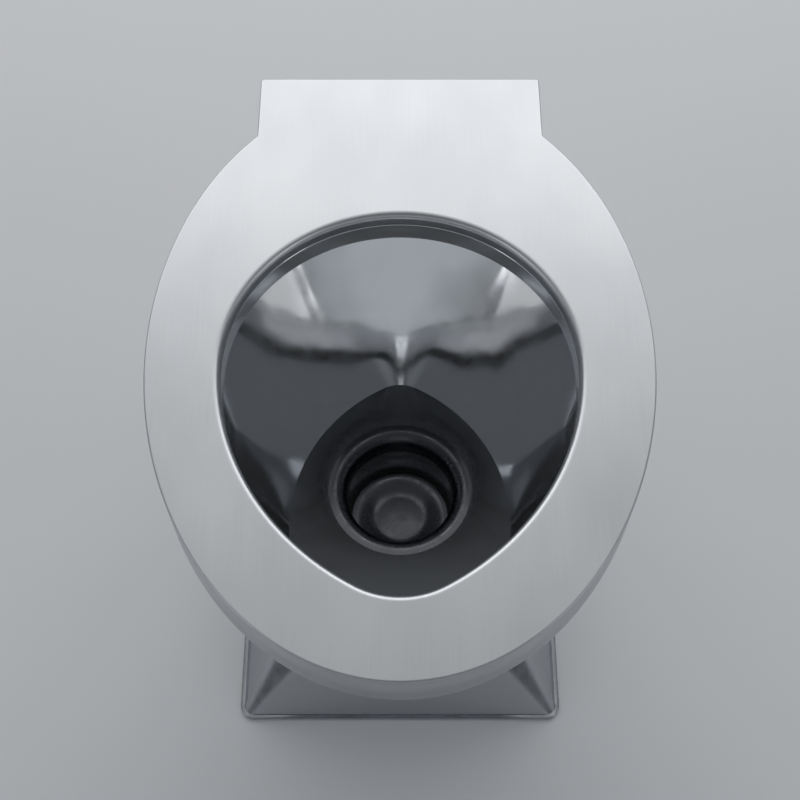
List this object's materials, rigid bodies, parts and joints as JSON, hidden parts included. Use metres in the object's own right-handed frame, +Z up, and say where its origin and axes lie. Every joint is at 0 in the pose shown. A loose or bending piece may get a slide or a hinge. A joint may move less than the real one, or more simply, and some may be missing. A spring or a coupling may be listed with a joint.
{
  "type": "pedestal toilet pan",
  "caption": "Stainless pedestal toilet pan with an oval seat deck, egg-shaped funnel bowl, square flared foot and a spring-closed outlet flap.",
  "frame": {"origin": "on the floor, at the centre of the four floor bolts, under the axis of the outlet", "axes": "+Z up along the outlet, +Y to the rear tab, so the front of the pan faces -Y"},
  "size_m": [0.374, 0.51, 0.4],
  "materials": {
    "brushed_stainless": "fine brushed stainless steel",
    "polished_stainless": "mirror-polished stainless steel",
    "mill_stainless": "plain mill-finish stainless steel",
    "brass": "turned brass",
    "seal_rubber": "moulded black rubber",
    "bush_plastic": "natural nylon",
    "spring_wire": "drawn stainless spring wire"
  },
  "bodies": {
    "pan": {"top_deck": "brushed_stainless", "deck_skirt": "brushed_stainless", "rim_collar": "polished_stainless", "rim_floor": "mill_stainless", "bowl_wall": "polished_stainless", "bowl_sump": "polished_stainless", "throat_ring": "polished_stainless", "outlet_tube": "polished_stainless", "neck_ring": "mill_stainless", "pedestal": "polished_stainless", "base_plate": "brushed_stainless", "weld_nuts": "mill_stainless", "spray_ring": "mill_stainless", "ring_posts": "mill_stainless", "feed_pipe": "mill_stainless", "inlet_fitting": "brass", "inlet_washer": "seal_rubber", "inlet_locknut": "brass", "hinge_lugs": "mill_stainless", "hinge_pin": "mill_stainless", "pin_clip": "mill_stainless", "torsion_spring": "spring_wire", "spring_anchor": "mill_stainless"},
    "flap": {"hinge_bushes": "bush_plastic", "hinge_strap": "mill_stainless", "flap_plate": "polished_stainless", "flap_seal": "seal_rubber"}
  },
  "joints": [
    {"name": "flap_hinge", "type": "hinge", "parent": "pan", "child": "flap", "pos_m": [0, 0.065, 0.1262], "axis": [1, 0, 0], "range_deg": [0, 75], "stiffness_Nm_per_rad": 0.26, "springref_deg": -51.57, "deforming": ["torsion_spring"]}
  ]
}
